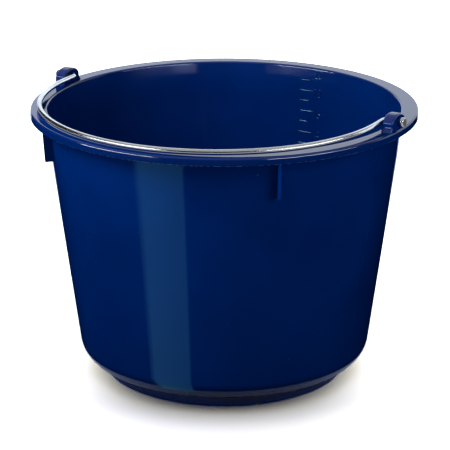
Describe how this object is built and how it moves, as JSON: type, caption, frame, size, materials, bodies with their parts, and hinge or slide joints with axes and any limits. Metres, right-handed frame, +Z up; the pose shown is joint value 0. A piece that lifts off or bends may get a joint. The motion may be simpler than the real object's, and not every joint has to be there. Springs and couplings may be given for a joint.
{
  "type": "bucket",
  "caption": "Round tapered plastic bucket with a flat rim, a foot ring and a swinging wire bail held in two ears, for carrying and mixing.",
  "frame": {"origin": "on the ground under the middle of the foot ring", "axes": "+Z up along the bucket's axis, X through the two ears, the bail rests on the rim at -Y and the litre scale is inside at +Y"},
  "size_m": [0.3928, 0.385, 0.2887],
  "materials": {
    "blue_plastic": "glossy as moulded",
    "galvanised_wire": "bright galvanised, drawn"
  },
  "bodies": {
    "bucket": {"bucket": "blue_plastic"},
    "bail": {"bail": "galvanised_wire"}
  },
  "joints": [
    {"name": "bail_swing", "type": "hinge", "parent": "bucket", "child": "bail", "pos_m": [0, 0, 0.281], "axis": [-1, 0, 0], "range_deg": [0, 182.8]}
  ]
}
